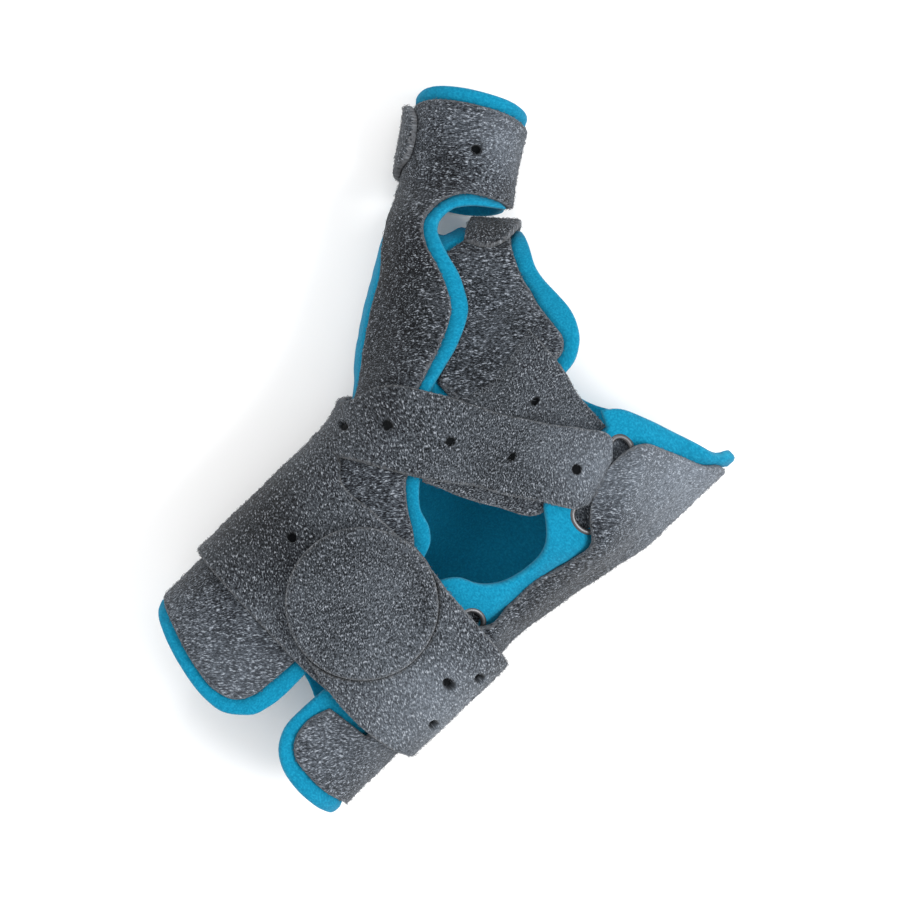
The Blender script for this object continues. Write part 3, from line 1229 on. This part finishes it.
# %% The rule that bends the narrow strap
SLOT_FROM, SLOT_TO = slot_hand_line - np.array([0, TURN])
SLOT_WAY = (SLOT_TO - SLOT_FROM) / np.linalg.norm(SLOT_TO - SLOT_FROM)
SLOT_OUT = np.array([SLOT_WAY[1], -SLOT_WAY[0]])
if SLOT_OUT[1] > 0:
    SLOT_OUT = -SLOT_OUT
STRETCH = 4.0         # the fold is drawn this much longer on the flat strap, to get enough facets
TOP_AT = RAISE + LINING + GAP + 0.2 + RING_TALL + GAP + STRAP / 2    # the strap's middle over the ring
LOW_AT = UNDER_AT + THIN / 2                                          # and below the flap
DROP = TOP_AT - LOW_AT - 2 * FOLD_R
FOLD = math.pi * FOLD_R + DROP


def narrow(v):
    """Flat strap position to space: past the slot's line it folds down and runs back underneath."""
    h = (v - SLOT_FROM) @ SLOT_OUT + 2.7
    along = v - h[:, None] * SLOT_OUT
    run = np.where(h < STRETCH * FOLD, np.maximum(h, 0) / STRETCH, h - (STRETCH - 1) * FOLD)
    arc = math.pi / 2 * FOLD_R
    a1 = np.clip(run / FOLD_R, 0, math.pi / 2)
    down = np.clip(run - arc, 0, DROP)
    a2 = np.clip((run - arc - DROP) / FOLD_R, 0, math.pi / 2)
    back = np.maximum(run - 2 * arc - DROP, 0)
    hh = FOLD_R * np.sin(a1) - FOLD_R * (1 - np.cos(a2)) - back
    oo = -FOLD_R * (1 - np.cos(a1)) - down - FOLD_R * np.sin(a2)
    at = along + (hh + np.minimum(h, 0))[:, None] * SLOT_OUT
    p = BODY.cast(at[:, 0], at[:, 1])
    n = slope(p)
    low = narrow_low(at, p[:, :2]) + STRAP / 2
    near = step((h + 8.0) / 6.0)
    low = low * (1 - near) + TOP_AT * near
    side = p[:, 2] < 4.0
    low = np.where(side & (h < -10), ON_BODY + STRAP / 2, low)
    off = np.where(h < 0, low, TOP_AT + oo)
    turn = a1 + a2
    q2 = BODY.cast(at[:, 0] + SLOT_OUT[0] * 0.5, at[:, 1] + SLOT_OUT[1] * 0.5)
    hdir = q2 - p
    hdir /= np.linalg.norm(hdir, axis=1)[:, None]
    face = n * np.cos(turn)[:, None] + hdir * np.sin(turn)[:, None]
    thick = STRAP + (THIN - STRAP) * step((run - arc) / 4.0)
    off = off + unevenness(p)
    return p + n * off[:, None], face, thick


def narrow_place(v):
    """Places on the narrow strap, with half its thickness as the direction out."""
    p, n, t = narrow(v)
    return p, n * t[:, None]

# %% The narrow strap's outline
def under(points):
    """Plan points of the hidden run, mirrored out past the slot's line on the flat strap."""
    out = []
    for q, s in plan_to_body(points, 2.0):
        d = np.array([q, s])
        h = (d - SLOT_FROM) @ SLOT_OUT + 2.0
        out.append(tuple(d + SLOT_OUT * (-2 * h + STRETCH * FOLD)))
    return out


side_up = deg(BODY, [(-9.0, 84), (-8.4, 92), (-4.0, 115), (-2.0, 140), (-2.0, 180)])
side_end = deg(BODY, [(-4.0, 188), (-12.0, 193), (-20.0, 188)])
side_low = deg(BODY, [(-22.0, 180), (-23.0, 150), (-23.4, 120), (-23.6, 95), (-23.2, 84)])
under_low = [(17.6, 5.4), (8.2, -1.5), (0.2, -6.1), (-5.8, -8.7), (-8.6, -10.2)]
under_up = [(-11.6, -6.0), (-12.0, 2.0), (-4.0, 8.0), (8.0, 16.0), (14.4, 22.0)]
edge_low = [tuple(SLOT_FROM + 0.9 * SLOT_WAY + SLOT_OUT * k) for k in (-1.5, STRETCH * FOLD + 1.0)]
edge_up = [tuple(SLOT_TO - 0.7 * SLOT_WAY + SLOT_OUT * k) for k in (STRETCH * FOLD + 1.0, -1.5)]
narrow_line = (plan_to_body(NARROW_UPPER, 6.0) + side_up + side_end + side_low
               + plan_to_body(NARROW_LOWER, 6.0)
               + edge_low + under(under_low) + under(under_up) + edge_up)

# %% The narrow strap
NARROW_HOLES = [(-33.9, -15.0), (-26.1, -7.0), (-12.2, 1.6), (1.2, 9.8), (14.3, 19.0)]
hand_strap = layer("narrow_hand_strap", narrow_place, level(-0.62), level(0.5),
                   soft_line(narrow_line, 1.1), STRAP_CLOTH, cell=1.2, wavy=False,
                   dents=punched(BODY, NARROW_HOLES, 6.5))
worn(hand_strap, "hand_strap")

# %% [markdown]
# ## The zigzag seam
# The web strap is sewn down along its end with a zigzag stitch. A path is laid on the
# cloth, resampled at half a stitch, and every second point is moved aside; a thin round
# thread swept along it is the seam. The same tree would sew any edge.

# %% A tree for zigzag thread
zigzag, a, b = node_tree("zigzag seam", [("Stitch", "NodeSocketFloat", 0.0014),
                                         ("Width", "NodeSocketFloat", 0.0018),
                                         ("Thread", "NodeSocketFloat", 0.00016),
                                         ("Finish", "NodeSocketMaterial", None)])
line = wired(zigzag, "GeometryNodeMeshToCurve", Mesh=a.outputs["Shape"])
even = wired(zigzag, "GeometryNodeResampleCurve", Curve=line.outputs[0])
even.mode = "LENGTH"
zigzag.links.new(maths(zigzag, "MULTIPLY", a.outputs["Stitch"], 0.5), even.inputs["Length"])
across = zigzag.nodes.new("ShaderNodeVectorMath")
across.operation = "CROSS_PRODUCT"
zigzag.links.new(zigzag.nodes.new("GeometryNodeInputTangent").outputs[0], across.inputs[0])
zigzag.links.new(named(zigzag, "up"), across.inputs[1])
turn = maths(zigzag, "PINGPONG", zigzag.nodes.new("GeometryNodeInputIndex").outputs[0], 1.0)
wide = maths(zigzag, "MULTIPLY", maths(zigzag, "SUBTRACT", turn, 0.5), a.outputs["Width"])
aside = scaled(zigzag, across.outputs[0], wide)
moved = wired(zigzag, "GeometryNodeSetPosition", Geometry=even.outputs[0], Offset=aside)
thread = wired(zigzag, "GeometryNodeCurvePrimitiveCircle", Resolution=6)
zigzag.links.new(a.outputs["Thread"], thread.inputs["Radius"])
swept = wired(zigzag, "GeometryNodeCurveToMesh",
              **{"Curve": moved.outputs[0], "Profile Curve": thread.outputs[0], "Fill Caps": True})
dress(zigzag, swept.outputs[0], a, b)

# %% The seam on the web strap
def thread_finish(name, colour, roughness):
    """A plain thread colour."""
    mat = bpy.data.materials.new(name)
    mat.use_nodes = True
    shader = mat.node_tree.nodes["Principled BSDF"]
    shader.inputs["Base Color"].default_value = (*colour, 1.0)
    shader.inputs["Roughness"].default_value = roughness
    return mat


THREAD = thread_finish("grey thread", (0.10, 0.11, 0.125), 0.7)
seam_line = resample(np.array(web_strap_line[:5]), 0.8, closed=False)
inward = np.array(web_strap_line[9]) - np.array(web_strap_line[2])
seam_line = seam_line + inward / np.linalg.norm(inward) * 1.6
p = BODY.cast(seam_line[:, 0], seam_line[:, 1])
n = slope(p)
at = web_strap_low(seam_line, p) + 0.55 + unevenness(p)
seam_path = path_object("seam_path", p + n * at[:, None], n, False)
stitches = {"Stitch": 0.0022, "Width": 0.0022, "Thread": 0.00017, "Finish": THREAD}
seam = grown(seam_path, zigzag, stitches, "web_strap_seam")
bpy.data.objects.remove(seam_path)
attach(seam, "root")

# %% [markdown]
# ## Nap that stands off the cloth
# Brushed loop cloth is covered with short loose fibres that catch the light. Modelling all
# of them isn't needed: points are scattered on the outer face, and each gets one small bent
# fibre, laid almost flat and turned at random. The seed is fixed, so it is the same each time.

# %% A tree that scatters fibres
fibres, a, b = node_tree("nap fibres", [("Density", "NodeSocketFloat", 600000.0),
                                        ("Shortest", "NodeSocketFloat", 0.6),
                                        ("Longest", "NodeSocketFloat", 1.1), ("Seed", "NodeSocketInt", 3),
                                        ("Finish", "NodeSocketMaterial", None)])
spread_out = wired(fibres, "GeometryNodeDistributePointsOnFaces", Mesh=a.outputs["Shape"],
                   Density=a.outputs["Density"], Seed=a.outputs["Seed"],
                   Selection=named(fibres, "outer", "FLOAT"))
bow = wired(fibres, "GeometryNodeCurveQuadraticBezier", Resolution=2, Start=(0.0, 0.0, -0.05),
            Middle=(0.35, 0.0, 0.42), End=(1.0, 0.0, 0.12))
hair = wired(fibres, "GeometryNodeCurvePrimitiveCircle", Resolution=3, Radius=0.055)
one = wired(fibres, "GeometryNodeCurveToMesh",
            **{"Curve": bow.outputs[0], "Profile Curve": hair.outputs[0], "Fill Caps": True})
spin = wired(fibres, "FunctionNodeRandomValue", Seed=a.outputs["Seed"])
spin.data_type = "FLOAT_VECTOR"
spin.inputs[0].default_value = (-0.25, -0.25, -3.1416)
spin.inputs[1].default_value = (0.25, 0.25, 3.1416)
angle = wired(fibres, "FunctionNodeEulerToRotation", Euler=spin.outputs[0])
laid = wired(fibres, "FunctionNodeRotateRotation", Rotation=spread_out.outputs["Rotation"],
             **{"Rotate By": angle.outputs[0]})
laid.rotation_space = "LOCAL"
long = fibres.nodes.new("FunctionNodeRandomValue")
fibres.links.new(a.outputs["Shortest"], long.inputs[2])
fibres.links.new(a.outputs["Longest"], long.inputs[3])
fibres.links.new(a.outputs["Seed"], long.inputs["Seed"])
each = wired(fibres, "GeometryNodeInstanceOnPoints", Points=spread_out.outputs["Points"],
             Instance=one.outputs[0], Rotation=laid.outputs[0],
             Scale=maths(fibres, "MULTIPLY", long.outputs[1], MM))
dress(fibres, each.outputs[0], a, b)

# %% Fibres on the covers and straps
GREY_FIBRE = thread_finish("grey fibre", (0.075, 0.086, 0.10), 0.8)
# piece, finish slot and fibres on a square metre
NAPPED = [("wrist_and_palm_loop_cloth", "loop_grey", 5.0e5), ("thumb_loop_cloth", "loop_grey", 9.0e5),
          ("web_loop_cloth", "loop_grey", 9.0e5), ("wide_wrist_strap", "strap_grey", 7.0e5),
          ("round_strap_end", "strap_grey", 9.0e5), ("web_strap_piece", "strap_grey", 9.0e5),
          ("narrow_hand_strap", "strap_grey", 9.0e5), ("thumb_closing_tab", "strap_grey", 9.0e5),
          ("web_closing_tab", "strap_grey", 9.0e5)]
FIRST_SEED = 11
for k, (name, slot_name, density) in enumerate(NAPPED):
    wanted = {"Density": density, "Shortest": 0.55, "Longest": 1.05, "Seed": FIRST_SEED + k,
              "Finish": GREY_FIBRE}
    nap_piece = grown(MADE[name], fibres, wanted, name + "_nap")
    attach(nap_piece, "root")

# %% [markdown]
# ## Floor, light and camera
# A white floor and two large soft lamps give the even look of a catalogue picture. The
# camera looks straight down from far away with a long lens, turned 46 degrees.

# %% Studio
def lamp(name, at, size, power, look=(0.01, 0.0, 0.02)):
    """A round soft lamp that looks at the splint."""
    data = bpy.data.lights.new(name, "AREA")
    data.shape = "DISK"
    data.size = size
    data.energy = power
    obj = bpy.data.objects.new(name, data)
    bpy.context.scene.collection.objects.link(obj)
    obj.location = at
    obj.rotation_euler = (Vector(look) - Vector(at)).to_track_quat("-Z", "Y").to_euler()
    return obj


RIGHT = Vector((0.6947, 0.7193, 0.0))     # to the right and to the top of the picture
UP = Vector((-0.7193, 0.6947, 0.0))
PICTURE_TURN = math.radians(46.0)
PICTURE_MIDDLE = (-10.7, 0.0)             # seen from above, in the hand's own axes
CAMERA_HEIGHT = 1.235
CLOTH_DISTANCE = 1.2                      # from the lens to the cloth
PICTURE_WIDE = 0.225                      # metres shown at that distance
lamp("key", RIGHT * 0.7 + UP * -0.25 + Vector((0, 0, 0.8)), 0.6, 9.0)
lamp("fill", RIGHT * -0.3 + UP * 0.3 + Vector((0, 0, 1.3)), 1.4, 8.0)
world = bpy.data.worlds.new("studio")
bpy.context.scene.world = world
world.use_nodes = True
world.node_tree.nodes["Background"].inputs["Color"].default_value = (1.0, 1.0, 1.0, 1.0)
world.node_tree.nodes["Background"].inputs["Strength"].default_value = 0.85

# %% The floor
floor_mesh = bpy.data.meshes.new("floor")
floor_mesh.from_pydata([(-3, -3, 0), (3, -3, 0), (3, 3, 0), (-3, 3, 0)], [], [(0, 1, 2, 3)])
floor = bpy.data.objects.new("floor", floor_mesh)
bpy.context.scene.collection.objects.link(floor)
paper = bpy.data.materials.new("white paper")
paper.use_nodes = True
paper.node_tree.nodes["Principled BSDF"].inputs["Base Color"].default_value = (0.97, 0.97, 0.97, 1.0)
paper.node_tree.nodes["Principled BSDF"].inputs["Roughness"].default_value = 0.9
floor.data.materials.append(paper)

# %% The camera
camera_data = bpy.data.cameras.new("camera")
camera_data.sensor_width = 36.0
camera_data.lens = camera_data.sensor_width * CLOTH_DISTANCE / PICTURE_WIDE
camera_data.clip_end = 10.0
camera = bpy.data.objects.new("camera", camera_data)
bpy.context.scene.collection.objects.link(camera)
camera.location = ((ROW[0] + PICTURE_MIDDLE[0]) * MM, (ROW[1] + PICTURE_MIDDLE[1]) * MM, CAMERA_HEIGHT)
camera.rotation_euler = (0.0, 0.0, PICTURE_TURN)
bpy.context.scene.camera = camera
bpy.context.scene.view_settings.view_transform = "Standard"
